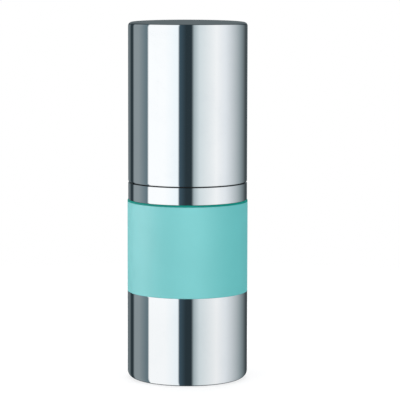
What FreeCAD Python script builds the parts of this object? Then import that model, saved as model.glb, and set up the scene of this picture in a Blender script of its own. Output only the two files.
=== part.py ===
"""Airless pump bottle: a capped cosmetic dispenser made of separate pieces that fit together.

The bottle stands on its foot at z = 0 with its axis on +Z, and the nozzle points to -Y.
Lengths are in millimetres. A radius is measured from the bottle's axis.
"""

import FreeCAD, Part

import math
import os

# Outside sizes
body_diameter = 36.0
cap_step = 0.2
base_height = 26.4
sleeve_height = 27.6
collar_height = 5.15
parting_gap = 0.3
cap_height = 47.45
spigot_height = 12.0

# Travel of the moving pieces
stroke = 4.5
lost_motion = 0.6
valve_lift = 0.8

# Fits and cuts
seat_gap = 0.05
slide_gap = 0.08
cut_overrun = 1.0
moulded_round = 0.3

# Base shell
base_wall = 0.6
foot_round = 2.2
foot_ring_width = 4.5

# Base insert
insert_floor = 1.5
insert_wall_height = 12.0
plug_ring_height = 1.2
plug_ring_wall = 1.2
vent_radius = 1.0

# Colour sleeve
sleeve_wall = 1.6
sleeve_lip = 4.0
sleeve_edge_round = 0.45

# Inner bottle
bottle_gap = 0.15
bottle_wall = 1.0
bottle_lead = 0.4
bottle_shoulder = 1.2
shoulder_drop = 0.2
shoulder_round = 1.0
shoulder_inner_round = 0.6
neck_wall = 1.2
neck_height = 6.4
neck_bead = 0.5
neck_bead_height = 1.2
neck_bead_rise = 2.6

# Follower piston
follower_height = 7.0
follower_wall = 1.1
follower_lip_gap = 0.05
follower_lip_flare = 0.8
follower_lip_land = 0.55
follower_lip_slope = 1.2
follower_lip_bevel = 0.3
follower_plate = 1.2
follower_plate_drop = 0.8
follower_dish_radius = 3.5
follower_dish_depth = 1.2
follower_dish_slope = 0.6

# Neck gasket
gasket_thickness = 0.8

# Pump housing
flange_thickness = 1.4
plug_skirt_length = 5.5
plug_skirt_wall = 0.8
plug_skirt_gap = 0.1
plug_skirt_room = 1.0
chamber_wall = 0.9
chamber_depth = 5.8
chamber_floor_thickness = 1.0
inlet_radius = 1.5
inlet_wall = 1.1
inlet_length = 1.8
snap_bead = 0.2
snap_bead_height = 0.8

# Inlet valve
valve_disc_overlap = 1.1
valve_disc_thickness = 0.6
valve_core_radius = 0.45
valve_leg_gap = 0.15
valve_leg_thickness = 0.6
valve_leg_count = 3
barb_reach = 0.35
barb_height = 0.6
barb_tip_radius = 0.9
valve_room = 0.65

# Pump stem
stem_bore_radius = 1.4
stem_wall = 1.0
stem_shoulder_step = 1.0
stem_shoulder_thickness = 1.0
stem_port_width = 0.9
stem_port_height = 1.0
stem_port_count = 4

# Outlet valve pin
pin_head_step = 0.8
pin_head_height = 0.9
pin_cone_height = 0.9
pin_shank_length = 5.5
pin_flute_width = 0.9
pin_flute_depth = 0.5
pin_flute_count = 3

# Pump piston
piston_length = 4.3
piston_rim = 0.84
piston_lip = 1.1
piston_lip_slope = 0.5
piston_waist = 0.6

# Pump closure
closure_plug_depth = 1.2
closure_plug_step = 0.5
closure_disc = 1.5
closure_wall = 0.9
closure_skirt = 4.0
closure_snap_rise = 1.6
guide_height = 1.6
guide_wall = 0.7

# Return spring
spring_height = 10.5
spring_wire = 0.7
spring_guide_gap = 0.35
spring_turns = 6.5
spring_end_gap = 0.45
spring_steps_per_turn = 4
spring_probes_per_turn = 36

# Pump ferrule
ferrule_wall = 1.0
ferrule_top = 1.0
ferrule_lift = 0.4
ferrule_ring_gap = 0.3
ferrule_slit_width = 1.0
ferrule_slit_height = 4.4
ferrule_slit_count = 6

# Shoulder insert
shoulder_web = 1.2
grip_wall = 1.0
grip_height = 5.4
spigot_liner_wall = 0.8
collar_backing_wall = 1.0

# Collar shell
collar_wall = 0.5
collar_edge_round = 0.3
spigot_round = 0.6
spigot_rim_width = 0.9

# Actuator shell
actuator_gap = 0.4
actuator_wall = 0.7
actuator_top = 0.8
actuator_round = 1.0
finger_dish_sag = 0.7
finger_dish_margin = 2.2
skirt_engagement = 3.5
nozzle_hole_gap = 0.15

# Actuator core
hub_margin = 0.35
socket_depth = 5.5
channel_rise = 2.0
channel_radius = 1.0
riser_head = 0.3
boss_wall = 0.65
boss_sink = 0.4
core_plate = 1.2
core_ring_wall = 0.9
core_ring_height = 12.0
core_rib_thickness = 0.9
core_rib_rise = 1.3
core_rib_count = 6

# Nozzle insert
orifice_radius = 0.8
nozzle_wall = 1.1
nozzle_shank_length = 3.0
nozzle_head_step = 0.4
nozzle_reach = 0.9
nozzle_taper = 0.6

# Cap shell and cap liner
cap_wall = 0.5
cap_round = 1.1
cap_lip_round = 0.3
liner_wall = 0.9
liner_top = 1.0
liner_rebate = 0.4
liner_rebate_height = 1.2
spigot_gap = 0.25
grip_rib_gap = 0.05
grip_rib_width = 1.0
grip_rib_height = 8.0
grip_rib_rise = 1.5
grip_rib_count = 8

# Radii worked out from the outside in
body_radius = body_diameter / 2
cap_radius = body_radius - cap_step
base_bore = body_radius - base_wall
foot_bore = body_radius - foot_ring_width
sleeve_bore = body_radius - sleeve_wall
bottle_radius = sleeve_bore - bottle_gap
bottle_bore = bottle_radius - bottle_wall
cap_bore = cap_radius - cap_wall
liner_radius = cap_bore - seat_gap
liner_bore = liner_radius - liner_wall
spigot_radius = liner_bore - spigot_gap
spigot_bore = spigot_radius - collar_wall
rim_bore = spigot_bore - spigot_rim_width
collar_bore = cap_radius - collar_wall
actuator_radius = rim_bore - actuator_gap
actuator_bore = actuator_radius - actuator_wall
core_radius = actuator_bore - seat_gap

# Radii worked out from the stem outwards
stem_radius = stem_bore_radius + stem_wall
stem_shoulder_radius = stem_radius + stem_shoulder_step
pin_head_radius = stem_radius + pin_head_step
piston_bore = stem_radius + slide_gap
piston_radius = pin_head_radius + slide_gap + piston_rim
chamber_radius = piston_radius + slide_gap
chamber_outside = chamber_radius + chamber_wall
plug_skirt_bore = chamber_outside + plug_skirt_room
plug_skirt_radius = plug_skirt_bore + plug_skirt_wall
neck_bore = plug_skirt_radius + plug_skirt_gap
neck_radius = neck_bore + neck_wall
bead_radius = neck_radius + neck_bead
ferrule_bore = bead_radius + seat_gap
ferrule_radius = ferrule_bore + ferrule_wall
closure_bore = chamber_outside + seat_gap
closure_radius = closure_bore + closure_wall
guide_bore = stem_radius + slide_gap
guide_radius = guide_bore + guide_wall
spring_mean_radius = guide_radius + spring_guide_gap + spring_wire / 2
hub_radius = spring_mean_radius + spring_wire / 2 + hub_margin
socket_radius = stem_radius + seat_gap
nozzle_shank_radius = orifice_radius + nozzle_wall
nozzle_head_radius = nozzle_shank_radius + nozzle_head_step
nozzle_seat_radius = nozzle_shank_radius + seat_gap
boss_radius = nozzle_seat_radius + boss_wall

# Heights of the body, from the foot up
base_top = base_height
sleeve_top = base_top + sleeve_height
collar_top = sleeve_top + collar_height
spigot_top = collar_top + spigot_height
cap_bottom = collar_top + parting_gap
cap_top = cap_bottom + cap_height
liner_bottom = collar_top + seat_gap
liner_crown = cap_top - cap_wall - seat_gap
liner_ceiling = liner_crown - liner_top
insert_bottom = base_wall + seat_gap
insert_floor_top = insert_bottom + insert_floor
plug_ring_top = insert_floor_top + plug_ring_height
follower_bottom = plug_ring_top + seat_gap
follower_top = follower_bottom + follower_height
bottle_bottom = insert_floor_top + seat_gap
shoulder_top = sleeve_top - shoulder_drop
shoulder_under = shoulder_top - bottle_shoulder
neck_top = shoulder_top + neck_height

# Heights of the pump and the button, from the neck up
flange_bottom = neck_top + gasket_thickness
flange_top = flange_bottom + flange_thickness
chamber_floor = flange_bottom - chamber_depth
inlet_bottom = chamber_floor - inlet_length
valve_seat = chamber_floor + seat_gap
valve_top = valve_seat + valve_disc_thickness
pin_bottom = valve_top + valve_lift + valve_room + stroke
pin_cone_bottom = pin_bottom + pin_head_height
pin_cone_top = pin_cone_bottom + pin_cone_height
stem_bottom = pin_cone_top + seat_gap
piston_top = pin_cone_bottom + piston_length
stem_shoulder_bottom = piston_top + lost_motion
stem_shoulder_top = stem_shoulder_bottom + stem_shoulder_thickness
closure_plug_bottom = stem_shoulder_top + slide_gap
housing_top = closure_plug_bottom + closure_plug_depth
closure_top = housing_top + closure_disc
hub_bottom = closure_top + spring_height
socket_top = hub_bottom + socket_depth
stem_top = socket_top - seat_gap
channel_height = socket_top + channel_rise
core_plate_bottom = channel_height + boss_radius - boss_sink
core_top = core_plate_bottom + core_plate
actuator_ceiling = core_top + seat_gap
actuator_crown = actuator_ceiling + actuator_top + finger_dish_sag
actuator_skirt_bottom = spigot_top - skirt_engagement

UP = FreeCAD.Vector(0, 0, 1)
FRONT = FreeCAD.Vector(0, -1, 0)
SAME_POINT = 1e-7


def corner_arc(before, corner, after, size):
    """Arc of the given radius that rounds one outline corner, as start, middle and end points."""
    back = (before - corner).normalize()
    on = (after - corner).normalize()
    half_angle = back.getAngle(on) / 2
    inward = (back + on).normalize()
    centre = corner + inward * (size / math.sin(half_angle))
    reach = size / math.tan(half_angle)
    return corner + back * reach, centre - inward * size, corner + on * reach


def outline_wire(corners):
    """Closed wire through (radius, height) corners; a third value is the round on that corner."""
    points = [FreeCAD.Vector(corner[0], 0, corner[1]) for corner in corners]
    bends = []
    for index, corner in enumerate(corners):
        bend = (points[index],)
        if len(corner) > 2 and corner[2] > 0:
            after = points[(index + 1) % len(points)]
            bend = corner_arc(points[index - 1], points[index], after, corner[2])
        bends.append(bend)
    edges = []
    for index, bend in enumerate(bends):
        if len(bend) > 1:
            edges.append(Part.Arc(*bend).toShape())
        next_start = bends[(index + 1) % len(bends)][0]
        if bend[-1].distanceToPoint(next_start) > SAME_POINT:
            edges.append(Part.LineSegment(bend[-1], next_start).toShape())
    return Part.Wire(edges)


def turned(corners):
    """Solid turned about the bottle's axis from an outline of (radius, height) corners."""
    solid = Part.Face(outline_wire(corners)).revolve(FreeCAD.Vector(), UP, 360)
    if solid.Volume < 0:
        solid.reverse()
    return solid


def rod(radius, bottom, top):
    """Upright cylinder on the bottle's axis."""
    return Part.makeCylinder(radius, top - bottom, UP * bottom, UP)


def cross_rod(radius, start, end):
    """Level cylinder on the nozzle's axis, between two distances from the bottle's axis."""
    return Part.makeCylinder(radius, end - start, FRONT * start + UP * channel_height, FRONT)


def radial_plates(count, thickness, inner, outer, bottom, top):
    """Upright flat plates that stand out from the axis, evenly spaced, the first one at +X."""
    corner = FreeCAD.Vector(inner, -thickness / 2, bottom)
    plate = Part.makeBox(outer - inner, thickness, top - bottom, corner)
    plates = []
    for index in range(count):
        copy = plate.copy()
        copy.rotate(FreeCAD.Vector(), UP, 360 * index / count)
        plates.append(copy)
    return plates


def base_shell():
    """Bright metal cup with a rounded foot, turned in below to the flat ring it stands on."""
    return turned([
        (foot_bore, 0),
        (body_radius, 0, foot_round),
        (body_radius, base_top),
        (base_bore, base_top),
        (base_bore, base_wall, foot_round - base_wall),
        (foot_bore, base_wall),
    ])


def base_insert():
    """Plug in the base shell: holds the bottle's lower edge and lets air in under the follower."""
    outside = base_bore - seat_gap
    groove_outer = bottle_radius + seat_gap
    groove_inner = bottle_bore - seat_gap
    wall_top = insert_bottom + insert_wall_height
    return turned([
        (vent_radius, insert_bottom),
        (outside, insert_bottom, foot_round - base_wall + seat_gap),
        (outside, wall_top, moulded_round),
        (groove_outer, wall_top, moulded_round),
        (groove_outer, insert_floor_top),
        (groove_inner, insert_floor_top),
        (groove_inner, plug_ring_top, moulded_round),
        (groove_inner - plug_ring_wall, plug_ring_top, moulded_round),
        (groove_inner - plug_ring_wall, insert_floor_top),
        (vent_radius, insert_floor_top),
    ])


def colour_sleeve():
    """Tinted tube that stands on the base shell's edge, with a thin lip that plugs into it."""
    lip_radius = base_bore - seat_gap
    return turned([
        (sleeve_bore, base_top - sleeve_lip),
        (lip_radius, base_top - sleeve_lip),
        (lip_radius, base_top),
        (body_radius, base_top),
        (body_radius, sleeve_top, sleeve_edge_round),
        (sleeve_bore, sleeve_top),
    ])


def inner_bottle():
    """Straight barrel, open below for the follower, with a flat shoulder and a beaded neck."""
    bead_bottom = shoulder_top + neck_bead_rise
    bead_top = bead_bottom + neck_bead_height
    return turned([
        (bottle_bore, bottle_bottom + bottle_lead),
        (bottle_bore + bottle_lead, bottle_bottom),
        (bottle_radius, bottle_bottom),
        (bottle_radius, shoulder_top, shoulder_round),
        (neck_radius, shoulder_top),
        (neck_radius, bead_bottom),
        (bead_radius, bead_bottom),
        (bead_radius, bead_top - neck_bead),
        (neck_radius, bead_top),
        (neck_radius, neck_top),
        (neck_bore, neck_top),
        (neck_bore, shoulder_under),
        (bottle_bore, shoulder_under, shoulder_inner_round),
    ])


def follower_piston():
    """Piston that rises as the bottle empties: a dished plate with a wiping lip at each end."""
    lip = bottle_bore - follower_lip_gap
    waist = lip - follower_lip_flare
    inside = waist - follower_wall
    land_bottom = follower_bottom + follower_lip_bevel
    land_top = follower_top - follower_lip_bevel
    plate_top = follower_top - follower_plate_drop
    plate_bottom = plate_top - follower_plate
    dish_rim = follower_dish_radius + follower_dish_slope
    return turned([
        (inside, follower_bottom),
        (lip - follower_lip_bevel, follower_bottom),
        (lip, land_bottom),
        (lip, land_bottom + follower_lip_land),
        (waist, land_bottom + follower_lip_land + follower_lip_slope),
        (waist, land_top - follower_lip_land - follower_lip_slope),
        (lip, land_top - follower_lip_land),
        (lip, land_top),
        (lip - follower_lip_bevel, follower_top),
        (inside, plate_top),
        (dish_rim, plate_top),
        (follower_dish_radius, plate_top - follower_dish_depth),
        (0, plate_top - follower_dish_depth),
        (0, plate_bottom - follower_dish_depth),
        (dish_rim, plate_bottom - follower_dish_depth),
        (dish_rim + follower_dish_slope, plate_bottom),
        (inside, plate_bottom),
    ])


def neck_gasket():
    """Flat washer between the neck's top and the pump's flange."""
    return turned([
        (neck_bore + seat_gap, neck_top),
        (neck_radius - seat_gap, neck_top),
        (neck_radius - seat_gap, flange_bottom),
        (neck_bore + seat_gap, flange_bottom),
    ])


def pump_housing():
    """Dose chamber hung from its flange, with an inlet, a plug skirt in the neck and a snap bead."""
    skirt_bottom = flange_bottom - plug_skirt_length
    inlet_outside = inlet_radius + inlet_wall
    floor_under = chamber_floor - chamber_floor_thickness
    bead_bottom = housing_top - closure_snap_rise
    bead_top = bead_bottom + snap_bead_height
    return turned([
        (inlet_radius, inlet_bottom),
        (inlet_outside, inlet_bottom),
        (inlet_outside, floor_under),
        (chamber_outside, floor_under),
        (chamber_outside, flange_bottom),
        (plug_skirt_bore, flange_bottom),
        (plug_skirt_bore, skirt_bottom),
        (plug_skirt_radius, skirt_bottom),
        (plug_skirt_radius, flange_bottom),
        (neck_radius, flange_bottom),
        (neck_radius, flange_top),
        (chamber_outside, flange_top),
        (chamber_outside, bead_bottom),
        (chamber_outside + snap_bead, bead_bottom),
        (chamber_outside + snap_bead, bead_top - snap_bead),
        (chamber_outside, bead_top),
        (chamber_outside, housing_top),
        (chamber_radius, housing_top),
        (chamber_radius, chamber_floor),
        (inlet_radius, chamber_floor),
    ])


def inlet_valve():
    """Poppet on the chamber floor: a disc on finned legs whose barbs catch under the inlet."""
    leg_radius = inlet_radius - valve_leg_gap
    barb_radius = inlet_radius + barb_reach
    barb_top = inlet_bottom - valve_lift - seat_gap
    barb_bottom = barb_top - barb_height
    disc = rod(inlet_radius + valve_disc_overlap, valve_seat, valve_top)
    core = rod(valve_core_radius, barb_bottom, valve_top)
    envelope = turned([
        (0, barb_bottom),
        (barb_tip_radius, barb_bottom),
        (barb_radius, barb_top),
        (leg_radius, barb_top),
        (leg_radius, valve_top),
        (0, valve_top),
    ])
    plates = radial_plates(
        valve_leg_count,
        valve_leg_thickness,
        0,
        barb_radius + cut_overrun,
        barb_bottom,
        valve_top,
    )
    legs = [envelope.common(plate) for plate in plates]
    return disc.multiFuse([core] + legs).removeSplitter()


def outlet_valve_pin():
    """Fluted pin in the stem's lower end, with a coned head that the piston closes against."""
    shank_radius = stem_bore_radius - seat_gap
    shank_top = pin_cone_top + pin_shank_length
    pin = turned([
        (0, pin_bottom),
        (pin_head_radius, pin_bottom),
        (pin_head_radius, pin_cone_bottom),
        (stem_radius, pin_cone_top),
        (shank_radius, pin_cone_top),
        (shank_radius, shank_top),
        (0, shank_top),
    ])
    flutes = radial_plates(
        pin_flute_count,
        pin_flute_width,
        shank_radius - pin_flute_depth,
        shank_radius + cut_overrun,
        stem_bottom,
        shank_top + cut_overrun,
    )
    return pin.cut(flutes).removeSplitter()


def pump_piston():
    """Sliding seal on the stem: two wiping lips and a coned seat that closes on the pin's head."""
    waist = piston_radius - piston_waist
    bottom = pin_cone_bottom
    return turned([
        (pin_head_radius + slide_gap, bottom),
        (piston_radius, bottom),
        (piston_radius, bottom + piston_lip),
        (waist, bottom + piston_lip + piston_lip_slope),
        (waist, piston_top - piston_lip - piston_lip_slope),
        (piston_radius, piston_top - piston_lip),
        (piston_radius, piston_top),
        (piston_bore, piston_top),
        (piston_bore, pin_cone_top),
    ])


def pump_stem():
    """Hollow stem from the piston to the button, with a stop shoulder and ports in its lower end."""
    tube = turned([
        (stem_bore_radius, stem_bottom),
        (stem_radius, stem_bottom),
        (stem_radius, stem_shoulder_bottom),
        (stem_shoulder_radius, stem_shoulder_bottom),
        (stem_shoulder_radius, stem_shoulder_top),
        (stem_radius, stem_shoulder_top),
        (stem_radius, stem_top),
        (stem_bore_radius, stem_top),
    ])
    ports = radial_plates(
        stem_port_count,
        stem_port_width,
        0,
        stem_radius + cut_overrun,
        stem_bottom - cut_overrun,
        stem_bottom + stem_port_height,
    )
    return tube.cut(ports).removeSplitter()


def pump_closure():
    """Lid of the pump: snaps over the housing, stops the stem's shoulder and carries the spring."""
    plug_bore = guide_bore + closure_plug_step
    plug_outside = chamber_radius - seat_gap
    skirt_bottom = housing_top - closure_skirt
    groove_radius = closure_bore + snap_bead
    groove_bottom = housing_top - closure_snap_rise - seat_gap
    groove_top = groove_bottom + snap_bead_height + seat_gap + seat_gap
    guide_top = closure_top + guide_height
    return turned([
        (guide_bore, housing_top),
        (plug_bore, housing_top),
        (plug_bore, closure_plug_bottom),
        (plug_outside, closure_plug_bottom),
        (plug_outside, housing_top),
        (closure_bore, housing_top),
        (closure_bore, groove_top),
        (groove_radius, groove_top),
        (groove_radius, groove_bottom),
        (closure_bore, groove_bottom),
        (closure_bore, skirt_bottom),
        (closure_radius, skirt_bottom),
        (closure_radius, closure_top, moulded_round),
        (guide_radius, closure_top),
        (guide_radius, guide_top, moulded_round),
        (guide_bore, guide_top),
    ])


def spring_point(turn):
    """Centre and direction of the spring's wire after some turns; the end turns lie closer."""
    rise = spring_height - spring_wire - seat_gap - seat_gap
    end_pitch = spring_wire + spring_end_gap
    swell = 2 * (rise / spring_turns - end_pitch)
    phase = 2 * math.pi * turn / spring_turns
    climb = end_pitch * turn + swell * (turn / 2 - spring_turns * math.sin(phase) / (4 * math.pi))
    climb_per_turn = end_pitch + swell * (1 - math.cos(phase)) / 2
    angle = 2 * math.pi * turn
    outward = FreeCAD.Vector(math.cos(angle), math.sin(angle), 0)
    onward = FreeCAD.Vector(-math.sin(angle), math.cos(angle), 0)
    height = closure_top + seat_gap + spring_wire / 2 + climb
    centre = outward * spring_mean_radius + UP * height
    along = onward * spring_mean_radius + UP * (climb_per_turn / (2 * math.pi))
    return centre, along.normalize()


def arc_between(start, control, end):
    """Circular arc that leaves start towards the control point and reaches end from it."""
    chord_middle = (start + end) * 0.5
    half_chord = start.distanceToPoint(chord_middle)
    height = control.distanceToPoint(chord_middle)
    sagitta = half_chord * math.tan(math.atan2(height, half_chord) / 2)
    bulge = (control - chord_middle).normalize() * sagitta
    return Part.Arc(start, chord_middle + bulge, end).toShape()


def spring_span(first_turn, last_turn):
    """Two tangent arcs that follow the spring's line from one turn number to another."""
    start, start_along = spring_point(first_turn)
    end, end_along = spring_point(last_turn)
    across = end - start
    square = 2 * (start_along.dot(end_along) - 1)
    linear = -2 * across.dot(start_along + end_along)
    root = math.sqrt(linear * linear - 4 * square * across.dot(across))
    handle = max((-linear - root) / (2 * square), (-linear + root) / (2 * square))
    start_control = start + start_along * handle
    end_control = end - end_along * handle
    joint = (start_control + end_control) * 0.5
    return [arc_between(start, start_control, joint), arc_between(joint, end_control, end)]


def spring_self_gap():
    """Least clear distance between neighbouring turns of the spring, measured on points."""
    count = int(spring_turns * spring_probes_per_turn) + 1
    points = [spring_point(step / spring_probes_per_turn)[0] for step in range(count)]
    gaps = []
    for index, point in enumerate(points):
        for other in points[index + spring_probes_per_turn // 2:]:
            gaps.append(point.distanceToPoint(other))
    return min(gaps) - spring_wire


def return_spring():
    """Coil spring round the stem, between the closure and the button's hub, clear of the product."""
    count = round(spring_turns * spring_steps_per_turn)
    edges = []
    for step in range(count):
        edges += spring_span(spring_turns * step / count, spring_turns * (step + 1) / count)
    start, along = spring_point(0)
    section = Part.Wire(Part.makeCircle(spring_wire / 2, start, along))
    coil = Part.BRepOffsetAPI.MakePipeShell(Part.Wire(edges))
    coil.add(section)
    coil.build()
    coil.makeSolid()
    solid = Part.Solid(coil.shape())
    if solid.Volume < 0:
        solid.reverse()
    return solid


def pump_ferrule():
    """Snap ring that clamps the flange and gasket to the neck, slit so that its lip can spring."""
    skirt_bottom = shoulder_top + ferrule_lift
    lip_top = shoulder_top + neck_bead_rise - seat_gap
    lip_bore = neck_radius + seat_gap
    ring_bore = closure_radius + ferrule_ring_gap
    ring_top = flange_top + ferrule_top
    ring = turned([
        (lip_bore, skirt_bottom),
        (ferrule_radius, skirt_bottom, moulded_round),
        (ferrule_radius, ring_top, ferrule_wall - seat_gap),
        (ring_bore, ring_top),
        (ring_bore, flange_top),
        (ferrule_bore, flange_top),
        (ferrule_bore, lip_top),
        (lip_bore, lip_top),
    ])
    slits = radial_plates(
        ferrule_slit_count,
        ferrule_slit_width,
        lip_bore - cut_overrun,
        ferrule_radius + cut_overrun,
        skirt_bottom - cut_overrun,
        skirt_bottom + ferrule_slit_height,
    )
    return ring.cut(slits).removeSplitter()


def shoulder_insert():
    """Moulded ring that grips the ferrule, rests on the bottle's shoulder and backs the collar."""
    bottom = shoulder_top + seat_gap
    ledge = sleeve_top + seat_gap
    web_top = ledge + shoulder_web
    web_radius = sleeve_bore - seat_gap
    grip_bore = ferrule_radius + seat_gap
    grip_radius = grip_bore + grip_wall
    grip_top = bottom + grip_height
    spigot_outside = spigot_bore - seat_gap
    spigot_inside = spigot_outside - spigot_liner_wall
    spigot_crown = spigot_top - collar_wall - seat_gap
    backing_outside = collar_bore - seat_gap
    backing_inside = backing_outside - collar_backing_wall
    backing_top = collar_top - collar_wall - seat_gap
    return turned([
        (grip_bore, bottom),
        (web_radius, bottom),
        (web_radius, ledge),
        (backing_outside, ledge),
        (backing_outside, backing_top),
        (backing_inside, backing_top),
        (backing_inside, web_top),
        (spigot_outside, web_top),
        (spigot_outside, spigot_crown, spigot_round - collar_wall + seat_gap),
        (spigot_inside, spigot_crown),
        (spigot_inside, web_top),
        (grip_radius, web_top),
        (grip_radius, grip_top, moulded_round),
        (grip_bore, grip_top, moulded_round),
    ])


def collar_shell():
    """Bright metal collar: a skirt on the sleeve, a ledge under the cap and a spigot inside it."""
    skirt_bottom = sleeve_top + seat_gap
    ledge_under = collar_top - collar_wall
    rim_under = spigot_top - collar_wall
    return turned([
        (collar_bore, skirt_bottom),
        (cap_radius, skirt_bottom),
        (cap_radius, collar_top, collar_edge_round),
        (spigot_radius, collar_top),
        (spigot_radius, spigot_top, spigot_round),
        (rim_bore, spigot_top),
        (rim_bore, rim_under),
        (spigot_bore, rim_under, spigot_round - collar_wall),
        (spigot_bore, ledge_under),
        (collar_bore, ledge_under),
    ])


def actuator_shell():
    """Bright button with a shallow finger dish on top and a round hole in front for the nozzle."""
    cup = turned([
        (actuator_bore, actuator_skirt_bottom),
        (actuator_radius, actuator_skirt_bottom),
        (actuator_radius, actuator_crown, actuator_round),
        (0, actuator_crown),
        (0, actuator_ceiling),
        (actuator_bore, actuator_ceiling),
    ])
    dish_radius = actuator_radius - finger_dish_margin
    ball_radius = (dish_radius ** 2 + finger_dish_sag ** 2) / (2 * finger_dish_sag)
    dish = Part.makeSphere(ball_radius, UP * (actuator_crown - finger_dish_sag + ball_radius))
    hole_radius = nozzle_head_radius + nozzle_hole_gap
    hole = cross_rod(hole_radius, hub_radius, actuator_radius + cut_overrun)
    return cup.cut([dish, hole]).removeSplitter()


def actuator_core():
    """Inside of the button: stem socket, spring seat, product channel, ribs and outer ring."""
    ring_bottom = core_top - core_ring_height
    ring_inside = core_radius - core_ring_wall
    body = turned([
        (0, hub_bottom),
        (hub_radius, hub_bottom),
        (hub_radius, core_plate_bottom),
        (ring_inside, core_plate_bottom),
        (ring_inside, ring_bottom),
        (core_radius, ring_bottom),
        (core_radius, core_top),
        (0, core_top),
    ])
    ribs = radial_plates(
        core_rib_count,
        core_rib_thickness,
        hub_radius - core_rib_thickness,
        ring_inside + core_ring_wall / 2,
        hub_bottom + core_rib_rise,
        core_plate_bottom,
    )
    boss = cross_rod(boss_radius, 0, core_radius - core_ring_wall / 2)
    socket = rod(socket_radius, hub_bottom - cut_overrun, socket_top)
    riser_top = channel_height + channel_radius + riser_head
    riser = rod(stem_bore_radius, socket_top - cut_overrun, riser_top)
    channel = cross_rod(channel_radius, 0, core_radius + cut_overrun)
    seat_start = core_radius - nozzle_shank_length - seat_gap
    seat = cross_rod(nozzle_seat_radius, seat_start, core_radius + cut_overrun)
    return body.multiFuse(ribs + [boss]).cut([socket, riser, channel, seat]).removeSplitter()


def nozzle_insert():
    """Spout tip pressed into the core: a shank in its seat and a tapered head out of the shell."""
    shank_start = core_radius - nozzle_shank_length
    head_start = actuator_bore + seat_gap
    head_end = actuator_radius + nozzle_reach
    taper_start = head_end - nozzle_taper
    tip_radius = nozzle_head_radius - nozzle_taper
    shank = cross_rod(nozzle_shank_radius, shank_start, head_start)
    head = cross_rod(nozzle_head_radius, head_start, taper_start)
    taper_place = FRONT * taper_start + UP * channel_height
    taper = Part.makeCone(nozzle_head_radius, tip_radius, nozzle_taper, taper_place, FRONT)
    orifice = cross_rod(orifice_radius, shank_start - cut_overrun, head_end + cut_overrun)
    return shank.multiFuse([head, taper]).cut(orifice).removeSplitter()


def cap_liner():
    """Moulded lining of the cap, with upright grip ribs that run on the collar's spigot."""
    cup = turned([
        (liner_bore, liner_bottom),
        (liner_radius - liner_rebate, liner_bottom),
        (liner_radius - liner_rebate, liner_bottom + liner_rebate_height),
        (liner_radius, liner_bottom + liner_rebate_height),
        (liner_radius, liner_crown, cap_round - cap_wall + seat_gap),
        (0, liner_crown),
        (0, liner_ceiling),
        (liner_bore, liner_ceiling, moulded_round),
    ])
    rib_inside = spigot_radius + grip_rib_gap
    rib_bottom = liner_bottom + grip_rib_rise
    rib_top = rib_bottom + grip_rib_height
    plates = radial_plates(
        grip_rib_count,
        grip_rib_width,
        rib_inside - grip_rib_width,
        liner_bore + liner_wall / 2,
        rib_bottom,
        rib_top,
    )
    clear = rod(rib_inside, rib_bottom - cut_overrun, rib_top + cut_overrun)
    ribs = [plate.cut(clear) for plate in plates]
    return cup.multiFuse(ribs).removeSplitter()


def cap_shell():
    """Bright metal cap with a flat top, a small round at its upper edge and a softened lip."""
    return turned([
        (cap_bore, cap_bottom),
        (cap_radius, cap_bottom, cap_lip_round),
        (cap_radius, cap_top, cap_round),
        (0, cap_top),
        (0, cap_top - cap_wall),
        (cap_bore, cap_top - cap_wall, cap_round - cap_wall),
    ])


PIECES = [
    base_shell,
    base_insert,
    colour_sleeve,
    inner_bottle,
    follower_piston,
    neck_gasket,
    pump_housing,
    inlet_valve,
    outlet_valve_pin,
    pump_piston,
    pump_stem,
    pump_closure,
    return_spring,
    pump_ferrule,
    shoulder_insert,
    collar_shell,
    actuator_shell,
    actuator_core,
    nozzle_insert,
    cap_liner,
    cap_shell,
]


def main():
    """Builds each piece, writes it to its own file and prints the sizes that the motion needs."""
    os.makedirs("parts", exist_ok=True)
    for piece in PIECES:
        shape = piece()
        shape.exportStep(os.path.join("parts", piece.__name__ + ".step"))
        volume = round(shape.Volume, 2)
        print(piece.__name__, "valid", shape.isValid(), "solids", len(shape.Solids), "mm3", volume)
    follower_travel = shoulder_under - shoulder_inner_round - follower_top
    content = math.pi * bottle_bore ** 2 * follower_travel
    print("overall height", round(cap_top, 3), "diameter", body_diameter)
    print("spring's least gap to itself", round(spring_self_gap(), 3))
    print("follower travel", round(follower_travel, 3), "content mm3", round(content))
    print("cap lip", round(cap_bottom, 3), "button crown", round(actuator_crown, 3))
    print("headroom over the button", round(liner_ceiling - actuator_crown, 3))
    print("follower top", round(follower_top, 3), "shoulder underside", round(shoulder_under, 3))
    print("valve barbs' lower end", round(inlet_bottom - valve_lift - seat_gap - barb_height, 3))
    print("spring foot", round(closure_top, 3), "hub", round(hub_bottom, 3))


main()
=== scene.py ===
"""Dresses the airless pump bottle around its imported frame.

The shells that show are turned again as fine meshes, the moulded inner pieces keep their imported
shapes, and every piece gets a finish made of shader nodes. Lengths in the classes are millimetres.
"""

import logging
import math
from dataclasses import dataclass
from enum import Enum
from typing import Any, Sequence

import bmesh
import bpy
from mathutils import Matrix, Vector


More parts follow.
